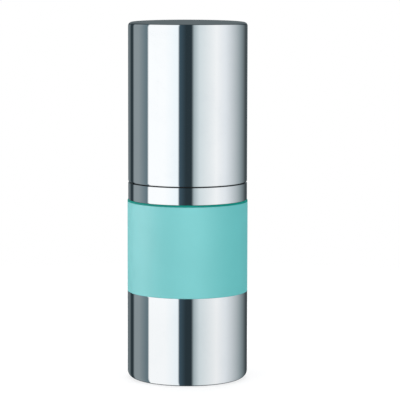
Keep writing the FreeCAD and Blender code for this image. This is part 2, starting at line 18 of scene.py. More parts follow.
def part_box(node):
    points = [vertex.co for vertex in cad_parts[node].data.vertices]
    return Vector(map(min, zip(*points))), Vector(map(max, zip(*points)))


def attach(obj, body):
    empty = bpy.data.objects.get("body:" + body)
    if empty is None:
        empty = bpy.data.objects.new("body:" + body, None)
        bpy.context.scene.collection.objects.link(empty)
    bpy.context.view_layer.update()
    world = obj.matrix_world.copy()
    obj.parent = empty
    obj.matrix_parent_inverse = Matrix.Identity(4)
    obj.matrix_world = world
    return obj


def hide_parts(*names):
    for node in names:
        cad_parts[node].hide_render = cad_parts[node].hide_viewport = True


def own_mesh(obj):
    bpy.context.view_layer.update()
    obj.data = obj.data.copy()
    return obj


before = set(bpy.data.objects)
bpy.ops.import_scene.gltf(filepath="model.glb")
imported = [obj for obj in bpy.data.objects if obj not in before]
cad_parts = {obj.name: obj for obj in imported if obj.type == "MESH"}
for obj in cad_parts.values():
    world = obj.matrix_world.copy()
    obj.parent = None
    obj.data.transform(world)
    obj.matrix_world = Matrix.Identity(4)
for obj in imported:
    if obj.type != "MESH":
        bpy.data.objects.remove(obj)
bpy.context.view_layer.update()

MM = 0.001
MERGE_MM = 0.001
SMOOTH_ANGLE = math.radians(32.0)
FULL_TURN = 360.0
FULL_TONE = 255
SRGB_KNEE, SRGB_SLOPE, SRGB_SHIFT, SRGB_POWER = 0.04045, 12.92, 0.055, 2.4
MIX_FIRST, MIX_SECOND, MIX_RESULT = 6, 7, 2
LOG = logging.getLogger("airless_bottle")

Socket = bpy.types.NodeSocket
Node = bpy.types.Node
Tree = bpy.types.NodeTree
Material = bpy.types.Material
Piece = bpy.types.Object
Point = tuple[float, float, float]
Span = tuple[float, float]


class Slot(Enum):
    """Material slots of the record that the pieces take their finish from."""

    BRIGHT = "bright_metal"
    TEAL = "frosted_teal"
    WHITE = "white_moulding"
    DARK = "dark_moulding"
    NATURAL = "natural_moulding"
    SOFT = "soft_moulding"
    GASKET = "gasket_foam"
    SPRING = "spring_steel"
    NOZZLE = "nozzle_plastic"


class Body(Enum):
    """Bodies of the frame that the new pieces ride on."""

    CONTAINER = "container"
    CAP = "cap"
    BUTTON = "button"


@dataclass(frozen=True)
class Tone:
    """A colour as it is seen, in display values from 0 to 255."""

    red: float
    green: float
    blue: float

    def linear(self) -> tuple[float, float, float, float]:
        """Gives the colour as a shader socket takes it.

        Returns:
            Red, green, blue and alpha in linear light.
        """
        values = []
        for shown in (self.red, self.green, self.blue):
            share = shown / FULL_TONE
            if share <= SRGB_KNEE:
                values.append(share / SRGB_SLOPE)
            else:
                values.append(((share + SRGB_SHIFT) / (1 + SRGB_SHIFT)) ** SRGB_POWER)
        return values[0], values[1], values[2], 1.0


class NodeSheet:
    """Places and joins the nodes of one shader tree."""

    def __init__(self, tree: Tree) -> None:
        """Keeps the tree that the sheet writes to."""
        self.tree = tree

    def add(self, kind: str, inputs: dict[str, Any] | None = None, **settings: Any) -> Node:
        """Places one node.

        Args:
            kind: the node's type name.
            inputs: values for its input sockets, by name.
            settings: values for the node's own settings.

        Returns:
            The new node.
        """
        node = self.tree.nodes.new(kind)
        for name, value in settings.items():
            setattr(node, name, value)
        for name, value in (inputs or {}).items():
            node.inputs[name].default_value = value
        return node

    def join(self, source: Any, target: Socket) -> None:
        """Feeds an input socket.

        Args:
            source: an output socket to link, or a plain value to set.
            target: the input socket.
        """
        if isinstance(source, Socket):
            self.tree.links.new(source, target)
        else:
            target.default_value = source

    def split(self, vector: Socket) -> Any:
        """Splits a vector.

        Args:
            vector: the vector's socket.

        Returns:
            The sockets of its parts, by the names X, Y and Z.
        """
        node = self.add("ShaderNodeSeparateXYZ")
        self.join(vector, node.inputs[0])
        return node.outputs

    def math(self, operation: str, first: Any, second: Any = 0.0) -> Socket:
        """Places one sum.

        Args:
            operation: the Math node's operation.
            first: a socket or a number.
            second: a socket or a number.

        Returns:
            The socket that holds the result.
        """
        node = self.add("ShaderNodeMath", operation=operation)
        self.join(first, node.inputs[0])
        self.join(second, node.inputs[1])
        return node.outputs[0]

    def spread(self, value: Socket, low: float, high: float) -> Socket:
        """Maps a value smoothly to 0 below low and 1 above high.

        Args:
            value: the socket to map.
            low: value that gives 0.
            high: value that gives 1.

        Returns:
            The socket that holds the mapped value.
        """
        inputs = {"From Min": low, "From Max": high}
        node = self.add("ShaderNodeMapRange", inputs, interpolation_type="SMOOTHSTEP")
        self.join(value, node.inputs["Value"])
        return node.outputs["Result"]

    def mix(self, mask: Socket, first: Any, second: Any) -> Socket:
        """Mixes two colours by a mask.

        Args:
            mask: the socket that mixes them.
            first: colour or socket where the mask is 0.
            second: colour or socket where the mask is 1.

        Returns:
            The socket that holds the mixed colour.
        """
        node = self.add("ShaderNodeMix", data_type="RGBA")
        self.join(mask, node.inputs["Factor"])
        self.join(first, node.inputs[MIX_FIRST])
        self.join(second, node.inputs[MIX_SECOND])
        return node.outputs[MIX_RESULT]

    def mix_shaders(self, mask: Socket, first: Socket, second: Socket) -> Socket:
        """Mixes two shaders by a mask.

        Args:
            mask: the socket that mixes them.
            first: shader where the mask is 0.
            second: shader where the mask is 1.

        Returns:
            The mixed shader's socket.
        """
        node = self.add("ShaderNodeMixShader")
        for source, target in zip((mask, first, second), node.inputs):
            self.join(source, target)
        return node.outputs[0]


class EffectGroups:
    """The surface effects that several finishes share, each built once as a node group."""

    noise_roughness: float = 0.6
    cloud_detail: float = 3.0
    fine_detail: float = 2.0
    fine_factor: float = 7.0
    cloud_span: Span = (0.45, 0.75)
    drift_span: Span = (0.3, 0.7)

    def __init__(self) -> None:
        """Builds the groups."""
        self.marks = self.handling_marks()
        self.grain = self.moulded_grain()
        self.rings = self.drawn_rings()

    def start(
        self, name: str, numbers: Sequence[str], results: Sequence[str]
    ) -> tuple[NodeSheet, Node, Node, Socket]:
        """Opens a new group with number sockets and a coordinate that is fixed to the piece.

        Args:
            name: the group's name.
            numbers: names of its inputs.
            results: names of its outputs.

        Returns:
            The sheet, the input node, the output node and the coordinate's socket.
        """
        tree = bpy.data.node_groups.new(name, "ShaderNodeTree")
        for side, names in (("INPUT", numbers), ("OUTPUT", results)):
            for label in names:
                tree.interface.new_socket(label, in_out=side, socket_type="NodeSocketFloat")
        sheet = NodeSheet(tree)
        place = sheet.add("ShaderNodeTexCoord").outputs["Object"]
        return sheet, sheet.add("NodeGroupInput"), sheet.add("NodeGroupOutput"), place

    def noise(self, sheet: NodeSheet, place: Socket, scale: Socket, detail: float) -> Socket:
        """Places one noise texture.

        Args:
            sheet: the sheet to write on.
            place: coordinate socket.
            scale: scale socket.
            detail: octaves of the noise.

        Returns:
            The socket that holds the noise value.
        """
        inputs = {"Detail": detail, "Roughness": self.noise_roughness}
        node = sheet.add("ShaderNodeTexNoise", inputs)
        sheet.join(place, node.inputs["Vector"])
        sheet.join(scale, node.inputs["Scale"])
        return node.outputs[0]

    def handling_marks(self) -> Tree:
        """Makes faint cloudy marks where the piece is handled, as a roughness and a mask.

        Returns:
            The node group.
        """
        sheet, given, made, place = self.start(
            "handling_marks", ("Scale", "Rest", "Amount"), ("Roughness", "Mask")
        )
        cloud = self.noise(sheet, place, given.outputs["Scale"], self.cloud_detail)
        fine_scale = sheet.math("MULTIPLY", given.outputs["Scale"], self.fine_factor)
        fine = self.noise(sheet, place, fine_scale, self.fine_detail)
        mask = sheet.math("MULTIPLY", sheet.spread(cloud, *self.cloud_span), fine)
        raised = sheet.math("MULTIPLY", mask, given.outputs["Amount"])
        rough = sheet.math("ADD", given.outputs["Rest"], raised)
        sheet.join(rough, made.inputs["Roughness"])
        sheet.join(mask, made.inputs["Mask"])
        return sheet.tree

    def moulded_grain(self) -> Tree:
        """Makes the fine even grain of a moulded surface, as a height and a slow drift of tone.

        Returns:
            The node group.
        """
        sheet, given, made, place = self.start(
            "moulded_grain", ("Grain Scale", "Drift Scale"), ("Height", "Drift")
        )
        grain = self.noise(sheet, place, given.outputs["Grain Scale"], self.fine_detail)
        drift = self.noise(sheet, place, given.outputs["Drift Scale"], self.fine_detail)
        sheet.join(grain, made.inputs["Height"])
        sheet.join(sheet.spread(drift, *self.drift_span), made.inputs["Drift"])
        return sheet.tree

    def drawn_rings(self) -> Tree:
        """Makes the very fine rings that drawing and polishing leave round the axis, as a height.

        Returns:
            The node group.
        """
        sheet, given, made, place = self.start("drawn_rings", ("Scale", "Stretch"), ("Height",))
        parts = sheet.split(place)
        tall = sheet.math("MULTIPLY", parts["Z"], given.outputs["Stretch"])
        joined = sheet.add("ShaderNodeCombineXYZ")
        for source, target in zip((parts["X"], parts["Y"], tall), joined.inputs):
            sheet.join(source, target)
        rings = self.noise(sheet, joined.outputs[0], given.outputs["Scale"], self.fine_detail)
        sheet.join(rings, made.inputs["Height"])
        return sheet.tree


class FinishSheet(NodeSheet):
    """The sheet of one finish's material, with the shader that it feeds."""

    def __init__(self, material: Material) -> None:
        """Finds the material's shader."""
        super().__init__(material.node_tree)
        self.shader = next(n for n in self.tree.nodes if n.type == "BSDF_PRINCIPLED")

    def feed(self, name: str, source: Any) -> None:
        """Feeds one of the shader's inputs with a socket or a plain value."""
        self.join(source, self.shader.inputs[name])

    def effect(self, tree: Tree, inputs: dict[str, float]) -> Any:
        """Places a shared effect with its values and gives its output sockets by name."""
        return self.add("ShaderNodeGroup", inputs, node_tree=tree).outputs


@dataclass(frozen=True)
class Finish:
    """What every finish holds: its record slot, two tones, its handling marks and its relief.

    The relief's depth is in millimetres, and a scale counts the noise's cells to the metre.
    """

    slot: Slot
    tone: Tone
    second: Tone
    marks_scale: float = 160.0
    rest_roughness: float = 0.42
    marks_amount: float = 0.12
    relief_strength: float = 0.25
    relief_depth: float = 0.008

    def material(self, effects: EffectGroups) -> Material:
        """Builds the material.

        Args:
            effects: the shared effects.

        Returns:
            The finished material.
        """
        material = bpy.data.materials.new("finish_" + self.slot.value)
        material.use_nodes = True
        self.fill(FinishSheet(material), effects)
        return material

    def fill(self, sheet: FinishSheet, effects: EffectGroups) -> None:
        """Feeds the shader; each kind of finish does it in its own way."""
        raise NotImplementedError

    def tint(self, sheet: FinishSheet, colour: Socket) -> None:
        """Feeds the mixed tones to the shader's colour as they are."""
        sheet.feed("Base Color", colour)

    def blend(self, sheet: FinishSheet, mask: Socket) -> Socket:
        """Gives the finish's two tones mixed by a mask."""
        return sheet.mix(mask, self.tone.linear(), self.second.linear())

    def wear(self, sheet: FinishSheet, effects: EffectGroups) -> Socket:
        """Feeds the handling marks to the shader's roughness.

        Args:
            sheet: the material's sheet.
            effects: the shared effects.

        Returns:
            The socket that holds the marks' mask.
        """
        marks = sheet.effect(effects.marks, {
            "Scale": self.marks_scale,
            "Rest": self.rest_roughness,
            "Amount": self.marks_amount,
        })
        sheet.feed("Roughness", marks["Roughness"])
        return marks["Mask"]

    def relief(self, sheet: FinishSheet, height: Socket) -> None:
        """Feeds a height to the shader's normal.

        Args:
            sheet: the material's sheet.
            height: the socket that holds the height.
        """
        inputs = {"Strength": self.relief_strength, "Distance": self.relief_depth * MM}
        bump = sheet.add("ShaderNodeBump", inputs)
        sheet.join(height, bump.inputs["Height"])
        sheet.feed("Normal", bump.outputs["Normal"])


@dataclass(frozen=True)
class DrawnMetal(Finish):
    """Drawn metal, toned by its handling marks, with fine drawing rings."""

    ring_scale: float = 60.0
    ring_stretch: float = 60.0

    def fill(self, sheet: FinishSheet, effects: EffectGroups) -> None:
        """Feeds marks, colour and rings to a metal shader.

        Args:
            sheet: the material's sheet.
            effects: the shared effects.
        """
        sheet.feed("Metallic", 1.0)
        self.tint(sheet, self.blend(sheet, self.wear(sheet, effects)))
        inputs = {"Scale": self.ring_scale, "Stretch": self.ring_stretch}
        self.relief(sheet, sheet.effect(effects.rings, inputs)["Height"])


@dataclass(frozen=True)
class BrightMetal(DrawnMetal):
    """Mirror-bright drawn metal with faint handling marks and a trace of drawing rings.

    Flat tops carry painted shade, a darker tone than the walls, that keeps them apart from white
    surroundings. The span is that of the normal's upward part.
    """

    slot: Slot = Slot.BRIGHT
    tone: Tone = Tone(244, 246, 247)
    second: Tone = Tone(238, 241, 243)
    flat_top_shade: Tone = Tone(206, 210, 212)
    flat_top_shade_span: Span = (0.985, 0.999)
    marks_scale: float = 90.0
    rest_roughness: float = 0.035
    marks_amount: float = 0.03
    relief_strength: float = 0.05
    relief_depth: float = 0.002

    def tint(self, sheet: FinishSheet, colour: Socket) -> None:
        """Feeds the colour to the shader, with painted shade that darkens flat tops.

        Args:
            sheet: the material's sheet.
            colour: the socket that holds the mixed tones.
        """
        # Painted shade: flat upward faces take a darker tone than the walls.
        facing = sheet.split(sheet.add("ShaderNodeNewGeometry").outputs["Normal"])
        flat_top_shade_mask = sheet.spread(facing["Z"], *self.flat_top_shade_span)
        sheet.feed("Base Color", sheet.mix(flat_top_shade_mask, colour, self.flat_top_shade.linear()))


@dataclass(frozen=True)
class SpringSteel(DrawnMetal):
    """Drawn steel wire with fine lines along its surface."""

    slot: Slot = Slot.SPRING
    tone: Tone = Tone(196, 198, 200)
    second: Tone = Tone(172, 175, 178)
    marks_scale: float = 300.0
    rest_roughness: float = 0.24
    marks_amount: float = 0.15
    ring_scale: float = 400.0
    ring_stretch: float = 20.0
    relief_strength: float = 0.2
    relief_depth: float = 0.01


@dataclass(frozen=True)
class Moulding(Finish):
    """Moulded plastic or rubber with a fine grain and a slow drift of tone."""

    grain_scale: float = 6000.0
    drift_scale: float = 110.0

    def fill(self, sheet: FinishSheet, effects: EffectGroups) -> None:
        """Feeds colour, marks and grain to the shader.

        Args:
            sheet: the material's sheet.
            effects: the shared effects.
        """
        inputs = {"Grain Scale": self.grain_scale, "Drift Scale": self.drift_scale}
        grain = sheet.effect(effects.grain, inputs)
        self.tint(sheet, self.blend(sheet, grain["Drift"]))
        self.wear(sheet, effects)
        self.relief(sheet, grain["Height"])


@dataclass(frozen=True)
class FrostedTeal(Moulding):
    """Frosted tinted plastic with a painted dark line of shade along its upper edge.

    The edge shade's span is in millimetres of height.
    """

    slot: Slot = Slot.TEAL
    tone: Tone = Tone(92, 190, 190)
    second: Tone = Tone(95, 193, 193)
    edge_shade: Tone = Tone(2, 136, 124)
    edge_shade_span: Span = (53.38, 53.48)
    grain_scale: float = 9000.0
    drift_scale: float = 70.0
    marks_scale: float = 120.0
    rest_roughness: float = 0.8
    marks_amount: float = 0.06
    coat_roughness: float = 0.64
    specular_level: float = 0.1
    relief_depth: float = 0.01

    def tint(self, sheet: FinishSheet, colour: Socket) -> None:
        """Feeds the colour to the shader with painted shade along the upper edge, left bare of the
        coat, and frosts the rest.

        Args:
            sheet: the material's sheet.
            colour: the socket that holds the mixed tones.
        """
        place = sheet.split(sheet.add("ShaderNodeTexCoord").outputs["Object"])
        low, high = self.edge_shade_span
        # Painted shade: this mask turns the top edge into a deep teal line and takes the coat off
        # it.
        rim = sheet.spread(place["Z"], low * MM, high * MM)
        sheet.feed("Base Color", sheet.mix(rim, colour, self.edge_shade.linear()))
        sheet.feed("Coat Weight", sheet.math("SUBTRACT", 1.0, rim))
        sheet.feed("Coat Roughness", self.coat_roughness)
        sheet.feed("Specular IOR Level", self.specular_level)


class FinishShop:
    """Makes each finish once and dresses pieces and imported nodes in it."""

    def __init__(self) -> None:
        """Builds the shared effects and every finish."""
        effects = EffectGroups()
        finishes = [
            BrightMetal(),
            FrostedTeal(),
            Moulding(Slot.WHITE, Tone(236, 236, 233), Tone(231, 231, 229)),
            # The dark moulding dresses only the cap liner, whose darkness is painted shade for the
            # gap under the cap.
            Moulding(Slot.DARK, Tone(62, 64, 66), Tone(56, 58, 60), rest_roughness=0.46),
            Moulding(Slot.NATURAL, Tone(224, 228, 226), Tone(217, 223, 221), rest_roughness=0.34),
            Moulding(Slot.SOFT, Tone(222, 223, 219), Tone(215, 217, 213), rest_roughness=0.55),
            Moulding(
                Slot.GASKET,
                Tone(206, 206, 201),
                Tone(196, 197, 192),
                rest_roughness=0.8,
                grain_scale=3500.0,
                relief_strength=0.6,
            ),
            SpringSteel(),
            Moulding(
                Slot.NOZZLE,
                Tone(238, 238, 236),
                Tone(234, 234, 232),
                rest_roughness=0.2,
                relief_strength=0.05,
                marks_amount=0.05,
            ),
        ]
        self.materials = {finish.slot: finish.material(effects) for finish in finishes}

    def dress(self, piece: Piece, slot: Slot) -> None:
        """Gives a piece its finish and drops any other.

        Args:
            piece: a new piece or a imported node's object.
            slot: the finish to give.
        """
        piece.data.materials.clear()
        piece.data.materials.append(self.materials[slot])

    def dress_node(self, node: str, slot: Slot) -> None:
        """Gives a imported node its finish.

        Args:
            node: the node's name.
            slot: the finish to give.
        """
        self.dress(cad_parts[node], slot)
        LOG.info("dressed %s in %s", node, slot.value)


@dataclass(frozen=True)
class Corner:
    """One corner of a turned outline: its radius, its height and the round on it."""

    radius: float
    height: float
    round: float = 0.0


def merge_doubles() -> None:
    """Merges the points that lie on each other in the mesh that is being edited."""
    bpy.ops.mesh.select_all(action="SELECT")
    bpy.ops.mesh.remove_doubles(threshold=MERGE_MM * MM)


@dataclass(frozen=True)
class Lathe:
    """Turns outlines about an axis with edit-mode operators."""

    centre: Point = (0.0, 0.0, 0.0)
    axis: Point = (0.0, 0.0, 1.0)
    steps: int = 192
    arc_segments: int = 8
    hold: float = 0.08

    def place(self, corner: Corner) -> Vector:
        """Gives a corner's point in the frame, in metres."""
        sideways = Vector((corner.radius, 0.0, 0.0))
        return (Vector(self.centre) + sideways + Vector(self.axis) * corner.height) * MM

    def reaches(self, corners: Sequence[Corner]) -> list[float]:
        """Gives how far from each corner its round starts.

        Args:
            corners: the outline's corners in order.

        Returns:
            Distances along both edges in metres, 0 at a sharp corner.
        """
        points = [self.place(corner) for corner in corners]
        reaches = []
        for i, corner in enumerate(corners):
            back = points[i - 1] - points[i]
            onward = points[(i + 1) % len(points)] - points[i]
            reaches.append(corner.round * MM / math.tan(back.angle(onward) / 2))
        return reaches

    def trace(self, corners: Sequence[Corner], closed: bool) -> list[Vector]:
        """Lists the outline's points, with two more beside each round to keep walls flat.

        Args:
            corners: the outline's corners in order.
            closed: whether the last corner joins the first.

        Returns:
            Points in metres.
        """
        points = []
        count = len(corners)
        reaches = self.reaches(corners)
        for i in range(count if closed else count - 1):
            start, end = self.place(corners[i]), self.place(corners[(i + 1) % count])
            run = end - start
            along = run.normalized()
            first = reaches[i] + self.hold * MM
            last = reaches[(i + 1) % count] + self.hold * MM
            points.append(start)
            if run.length > first + last + self.hold * MM:
                if reaches[i]:
                    points.append(start + along * first)
                if reaches[(i + 1) % count]:
                    points.append(end - along * last)
        points.append(self.place(corners[0] if closed else corners[-1]))
        return points

    def select_at(self, piece: Piece, point: Vector) -> None:
        """Selects the one vertex at a point and nothing else.

        Args:
            piece: the piece in edit mode.
            point: the vertex's place, in metres.
        """
        mesh = bmesh.from_edit_mesh(piece.data)
        for vertex in mesh.verts:
            vertex.select_set((vertex.co - point).length < MERGE_MM * MM)
        mesh.select_flush_mode()
        bmesh.update_edit_mesh(piece.data)

    def turn(self, name: str, corners: Sequence[Corner]) -> Piece:
        """Draws an outline by extruding a point, rounds its corners and spins it.

        Args:
            name: the piece's name.
            corners: the outline's corners. It is left open where both ends are on the axis.

        Returns:
            The finished piece, at the origin.
        """
        closed = corners[0].radius > 0 or corners[-1].radius > 0
        bpy.ops.object.select_all(action="DESELECT")
        bpy.ops.mesh.primitive_plane_add(size=MM)
        piece = bpy.context.object
        piece.name = name
        piece.data.name = name
        bpy.ops.object.mode_set(mode="EDIT")
        bpy.ops.mesh.select_mode(type="VERT")
        bpy.ops.mesh.select_all(action="SELECT")
        bpy.ops.mesh.merge(type="CENTER")
        here = Vector()
        for index, point in enumerate(self.trace(corners, closed)):
            step = {"value": point - here}
            if index:
                bpy.ops.mesh.extrude_region_move(TRANSFORM_OT_translate=step)
            else:
                bpy.ops.transform.translate(**step)
            here = point
        merge_doubles()
        for corner, reach in zip(corners, self.reaches(corners)):
            if corner.round:
                self.select_at(piece, self.place(corner))
                bpy.ops.mesh.bevel(offset=reach, segments=self.arc_segments, affect="VERTICES")
        bpy.ops.mesh.select_all(action="SELECT")
        centre = Vector(self.centre) * MM
        bpy.ops.mesh.spin(steps=self.steps, angle=math.tau, center=centre, axis=self.axis)
        merge_doubles()
        bpy.ops.mesh.normals_make_consistent(inside=False)
        bpy.ops.object.mode_set(mode="OBJECT")
        bpy.ops.object.shade_smooth_by_angle(angle=SMOOTH_ANGLE)
        return piece


@dataclass
class SubAssembly:
    """What every sub-assembly does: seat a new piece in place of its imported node."""

    shop: FinishShop

    def seat(self, piece: Piece, node: str, body: Body, slot: Slot) -> None:
        """Dresses a new piece, lets it ride on a body and stand for a node.

        Args:
            piece: the new piece.
            node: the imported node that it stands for.
            body: the body that it moves with.
            slot: its finish.
        """
        self.shop.dress(piece, slot)
        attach(piece, body.value)
        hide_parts(node)
        LOG.info("built %s for %s on %s", piece.name, node, body.value)


def box_mm(node: str) -> Point:
    """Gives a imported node's largest radius, bottom and top.

    Args:
        node: the node's name.

    Returns:
        Radius, bottom and top in millimetres.
    """
    low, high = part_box(node)
    return high.x / MM, low.z / MM, high.z / MM


@dataclass
class Cap(SubAssembly):
    """Lift-off cap: a bright drawn shell over a moulded liner."""

    wall: float = 0.5
    crown_round: float = 1.1
    inner_round: float = 0.6
    lip_round: float = 0.3
    lip_inner_round: float = 0.12

    def build(self) -> None:
        """Turns the shell and dresses the liner."""
        radius, bottom, top = box_mm("cap_shell")
        bore = radius - self.wall
        shell = Lathe().turn("cap_bright_shell", [
            Corner(0, top - self.wall),
            Corner(bore, top - self.wall, self.inner_round),
            Corner(bore, bottom, self.lip_inner_round),
            Corner(radius, bottom, self.lip_round),
            Corner(radius, top, self.crown_round),
            Corner(0, top),
        ])
        self.seat(shell, "cap_shell", Body.CAP, Slot.BRIGHT)
        # The liner's dark colour stands in for the shade in the gap under the cap's lip: painted
        # shade.
        self.shop.dress_node("cap_liner", Slot.DARK)


@dataclass
class Collar(SubAssembly):
    """Bright collar with the spigot that the cap goes over, backed by a moulded ring."""

    wall: float = 0.5
    ledge_height: float = 5.1
    spigot_radius: float = 16.1
    rim_bore: float = 14.7
    edge_round: float = 0.3
    spigot_round: float = 0.6
    foot_round: float = 0.1
    rim_round: float = 0.2

    def build(self) -> None:
        """Turns the collar and dresses the ring behind it."""
        radius, bottom, top = box_mm("collar_shell")
        ledge = bottom + self.ledge_height
        bore = radius - self.wall
        spigot_bore = self.spigot_radius - self.wall
        shell = Lathe().turn("collar_bright_ring", [
            Corner(bore, bottom),
            Corner(radius, bottom, self.foot_round),
            Corner(radius, ledge, self.edge_round),
            Corner(self.spigot_radius, ledge),
            Corner(self.spigot_radius, top, self.spigot_round),
            Corner(self.rim_bore, top, self.rim_round),
            Corner(self.rim_bore, top - self.wall, self.rim_round),
            Corner(spigot_bore, top - self.wall, self.foot_round),
            Corner(spigot_bore, ledge - self.wall),
            Corner(bore, ledge - self.wall),
        ])
        self.seat(shell, "collar_shell", Body.CONTAINER, Slot.BRIGHT)
        self.shop.dress_node("shoulder_insert", Slot.WHITE)


@dataclass
class Barrel(SubAssembly):
    """Body of the bottle: frosted band, bright base, inner bottle and follower."""

    band_wall: float = 1.6
    band_lip_radius: float = 17.35
    band_lip_length: float = 4.0
    band_edge_round: float = 0.45
    band_foot_round: float = 0.08
    base_wall: float = 0.6
    base_edge_round: float = 0.08
    foot_round: float = 2.2
    foot_bore: float = 13.5
    foot_bore_round: float = 0.25
    foot_segments: int = 12

    def build(self) -> None:
        """Turns the band and the base and dresses what they hold."""
        self.build_band()
        self.build_base()
        self.shop.dress_node("base_insert", Slot.WHITE)
        self.shop.dress_node("inner_bottle", Slot.NATURAL)
        self.shop.dress_node("follower_piston", Slot.SOFT)

    def build_band(self) -> None:
        """Turns the frosted band with the lip that plugs into the base."""
        radius, bottom, top = box_mm("colour_sleeve")
        seat = bottom + self.band_lip_length
        bore = radius - self.band_wall
        band = Lathe().turn("frosted_band", [
            Corner(bore, bottom),
            Corner(self.band_lip_radius, bottom),
            Corner(self.band_lip_radius, seat),
            Corner(radius, seat, self.band_foot_round),
            Corner(radius, top, self.band_edge_round),
            Corner(bore, top),
        ])
        self.seat(band, "colour_sleeve", Body.CONTAINER, Slot.TEAL)

    def build_base(self) -> None:
        """Turns the bright cup with its rounded foot."""
        radius, bottom, top = box_mm("base_shell")
        bore = radius - self.base_wall
        floor = bottom + self.base_wall
        cup = Lathe(arc_segments=self.foot_segments).turn("base_bright_cup", [
            Corner(self.foot_bore, bottom, self.foot_bore_round),
            Corner(radius, bottom, self.foot_round),
            Corner(radius, top, self.base_edge_round),
            Corner(bore, top),
            Corner(bore, floor, self.foot_round - self.base_wall),
            Corner(self.foot_bore, floor, self.foot_bore_round),
        ])
        self.seat(cup, "base_shell", Body.CONTAINER, Slot.BRIGHT)


@dataclass
class Pump(SubAssembly):
    """Pump mechanism: moulded pieces as packed, and a coil spring."""

    wire: float = 0.7
    turns: float = 6.5
    end_pitch: float = 1.15
    stroke: float = 4.5
    steps_per_turn: int = 40
    wire_sides: int = 14

    def build(self) -> None:
        """Winds the spring and dresses the moulded pieces."""
        self.wind_spring()
        for node in ("pump_ferrule", "pump_closure", "outlet_valve_pin", "pump_stem"):
            self.shop.dress_node(node, Slot.WHITE)
        for node in ("pump_piston", "inlet_valve"):
            self.shop.dress_node(node, Slot.SOFT)
        self.shop.dress_node("pump_housing", Slot.NATURAL)
        self.shop.dress_node("neck_gasket", Slot.GASKET)

    def wind_spring(self) -> None:
        """Winds a circle of wire into an even coil, closes its ends and draws its end turns in."""
        outside, bottom, top = box_mm("return_spring")
        mean = outside - self.wire / 2
        rise = top - bottom - self.wire
        bpy.ops.object.select_all(action="DESELECT")
        bpy.ops.mesh.primitive_circle_add(
            vertices=self.wire_sides,
            radius=self.wire / 2 * MM,
            fill_type="NOTHING",
            location=(mean * MM, 0.0, (bottom + self.wire / 2) * MM),
            rotation=(math.pi / 2, 0.0, 0.0),
        )
        coil = bpy.context.object
        coil.name = "coil_spring"
        coil.data.name = "coil_spring"
        bpy.ops.object.transform_apply(location=True, rotation=True, scale=True)
        screw = coil.modifiers.new("wind", "SCREW")
        screw.angle = math.tau * self.turns
        screw.screw_offset = rise * MM
        screw.steps = round(self.turns * self.steps_per_turn)
        screw.render_steps = screw.steps
        bpy.ops.object.modifier_apply(modifier=screw.name)
        self.draw_in_ends(coil, bottom + self.wire / 2, rise)
        bpy.ops.object.mode_set(mode="EDIT")
        bpy.ops.mesh.select_all(action="DESELECT")
        bpy.ops.mesh.select_mode(type="EDGE")
        bpy.ops.mesh.select_non_manifold()
        bpy.ops.mesh.fill()
        bpy.ops.mesh.select_all(action="SELECT")
        bpy.ops.mesh.normals_make_consistent(inside=False)
        bpy.ops.object.mode_set(mode="OBJECT")
        bpy.ops.object.shade_smooth_by_angle(angle=SMOOTH_ANGLE)
        self.seat(coil, "return_spring", Body.CONTAINER, Slot.SPRING)
        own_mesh(coil)

    def draw_in_ends(self, coil: Piece, start: float, rise: float) -> None:
        """Moves each point of the even coil up or down so that the end turns lie closer.

        Args:
            coil: the evenly wound coil.
            start: height of the wire's centre at its lower end.
            rise: height from the lower end's centre to the upper end's centre.
        """
        pitch = rise / self.turns
        swell = 2 * (pitch - self.end_pitch)
        for vertex in coil.data.vertices:
            share = math.atan2(vertex.co.y, vertex.co.x) / math.tau
            climbed = (vertex.co.z / MM - start) / pitch
            turn = min(max(share + round(climbed - share), 0.0), self.turns)
            wave = self.turns * math.sin(math.tau * turn / self.turns) / (2 * math.tau)
            drawn = self.end_pitch * turn + swell * (turn / 2 - wave)
            vertex.co.z += (drawn - pitch * turn) * MM


